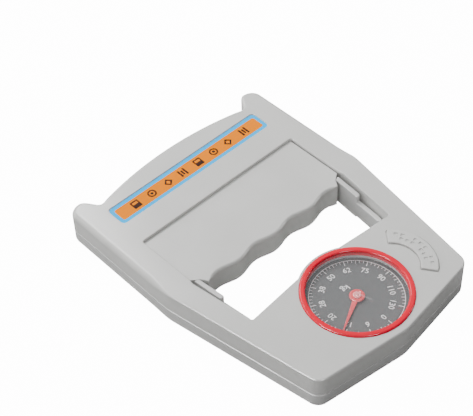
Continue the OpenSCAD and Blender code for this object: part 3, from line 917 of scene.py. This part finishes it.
front_shell()
back_shell()
label()
label_marks()
side_badge()
dial_rim()
dial_plate()
dial_scale()
bezel_ring()
dial_lens()
reset_finger()
pointer()
pointer_cap()
handle_grip()
handle_frame()
for spring_name, spring_x in SPRING_XS.items():
    spring(spring_name, spring_x)

# ---------------------------------------------------------------- CAD pieces shown as they are
KEPT = {
    "movement_base": BRASS, "movement_pillars": BRASS, "movement_bridge": BRASS,
    "pillar_screws": SCREW, "upper_bush": BRONZE, "lower_bush": BRONZE, "arbor": SHAFT,
    "pinion_gear": BRASS, "drive_collar": SHAFT, "handle_screws": SCREW, "spring_cups": DARK,
    "draw_bar": STEEL, "rack_strip": STEEL, "rack_rivets": RIVET, "anchor_plate": STEEL,
    "guide_rods": SHAFT, "case_screws": SCREW,
}
SOFTENED = ("draw_bar", "anchor_plate", "movement_base", "movement_bridge", "case_screws",
            "handle_screws")
for node_name, surface in KEPT.items():
    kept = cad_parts[node_name]
    kept.data.materials.clear()
    kept.data.materials.append(surface)
    for polygon in kept.data.polygons:
        polygon.use_smooth = True
    kept.data.set_sharp_from_angle(angle=math.radians(30))
    if node_name in SOFTENED:
        bevel = kept.modifiers.new("edge", "BEVEL")
        bevel.width = 0.12 * MM
        bevel.segments = 2
        bevel.limit_method = "ANGLE"
        bevel.angle_limit = math.radians(40)


# ---------------------------------------------------------------- stage, in metres
def floor_material():
    """Matt grey to the light and glowing white to the camera.

    It is clear from below, and to other rays that start within 1.5 mm of it.
    """
    new = bpy.data.materials.new("floor")
    new.use_nodes = True
    tree = new.node_tree
    path = add_node(tree, "ShaderNodeLightPath").outputs
    surface = tree.nodes["Principled BSDF"]
    set_inputs(tree, surface, {
        "Base Color": (0.29, 0.29, 0.29, 1),
        "Roughness": 0.9,
        "Emission Color": (1, 1, 1, 1),
        "Emission Strength": calculate(tree, "MULTIPLY", path["Is Camera Ray"], 14.0),
    })
    near = calculate(tree, "LESS_THAN", path["Ray Length"], 0.0015)
    near = calculate(tree, "SUBTRACT", near, path["Is Camera Ray"], clamp=True)
    behind = add_node(tree, "ShaderNodeNewGeometry").outputs["Backfacing"]
    clear = add_node(tree, "ShaderNodeBsdfTransparent")
    mixed = add_node(tree, "ShaderNodeMixShader", {
        "Fac": calculate(tree, "MAXIMUM", near, behind),
        1: surface.outputs["BSDF"], 2: clear.outputs["BSDF"]})
    tree.links.new(mixed.outputs["Shader"], tree.nodes["Material Output"].inputs["Surface"])
    return new


def add_floor():
    bpy.ops.mesh.primitive_plane_add(size=6, location=(0, 0, -0.0002))
    floor = bpy.context.object
    floor.name = "floor"
    floor.data.materials.append(floor_material())


def add_world():
    """White, brightest towards one upper direction, with more light from well below."""
    world = bpy.data.worlds.new("w")
    bpy.context.scene.world = world
    world.use_nodes = True
    tree = world.node_tree
    direction = add_node(tree, "ShaderNodeTexCoord").outputs["Generated"]
    towards = add_node(tree, "ShaderNodeVectorMath", {0: direction, 1: (-0.36, 0.56, 0.75)},
                       operation="DOT_PRODUCT").outputs["Value"]
    height = add_node(tree, "ShaderNodeSeparateXYZ", {"Vector": direction}).outputs["Z"]
    sky = map_range(tree, towards, source=(-0.15, 0.95), target=(0.07, 1.4))
    ground = map_range(tree, height, source=(-0.25, -0.55), target=(0, 0.75))
    set_inputs(tree, tree.nodes["Background"], {
        "Color": (1, 1, 1, 1), "Strength": calculate(tree, "ADD", sky, ground)})


# name, location, size, power in watts, whether it adds diffuse light
LIGHTS = [
    ("key", (0.15, 0.75, 0.8), 0.45, 11.0, True),
    ("fill", (-0.62, 0.85, 0.36), 0.4, 3.3, True),
    ("rim", (0.75, -0.1, 0.35), 0.35, 0.7, True),
    ("edge_left", (-0.80, 0.04, 0.62), 0.5, 46.0, False),
    ("edge_front", (-0.22, -0.73, 0.66), 0.32, 9.0, False),
    ("edge_low", (0.77, -0.50, 0.36), 0.25, 2.5, False),
]


def add_lights():
    """Area lights aimed at the origin."""
    for name, location, size, power, diffuse in LIGHTS:
        data = bpy.data.lights.new(name, "AREA")
        data.size = size
        data.energy = power
        lamp = bpy.data.objects.new(name, data)
        COLLECTION.objects.link(lamp)
        lamp.location = location
        lamp.rotation_euler = (-Vector(location)).to_track_quat("-Z", "Y").to_euler()
        lamp.visible_diffuse = diffuse


CAMERA_AIM = (-3.263908591, 25.347405796, FACE_Z)    # mm, a point on the line of sight
CAMERA_DISTANCE = 686.3542434                        # mm
CAMERA_AZIMUTH = -0.73037405204                      # radians, from -Y
CAMERA_ELEVATION = 0.81689926227
CAMERA_ROLL = -0.039572513546


def add_camera():
    level = math.cos(CAMERA_ELEVATION)
    back = Vector((math.sin(CAMERA_AZIMUTH) * level, -math.cos(CAMERA_AZIMUTH) * level,
                   math.sin(CAMERA_ELEVATION)))
    right = Vector((0, 0, 1)).cross(back).normalized()
    up = back.cross(right)
    c, s = math.cos(CAMERA_ROLL), math.sin(CAMERA_ROLL)
    right, up = c * right + s * up, -s * right + c * up
    data = bpy.data.cameras.new("cam")
    data.sensor_width = 36
    data.sensor_fit = "HORIZONTAL"
    data.lens = 106.5544913
    data.clip_start = 0.01
    data.clip_end = 20
    camera = bpy.data.objects.new("cam", data)
    COLLECTION.objects.link(camera)
    location = (Vector(CAMERA_AIM) + back * CAMERA_DISTANCE) * MM
    turn = Matrix((right, up, back)).transposed().to_4x4()
    camera.matrix_world = Matrix.Translation(location) @ turn
    bpy.context.scene.camera = camera


add_floor()
add_world()
add_lights()
add_camera()
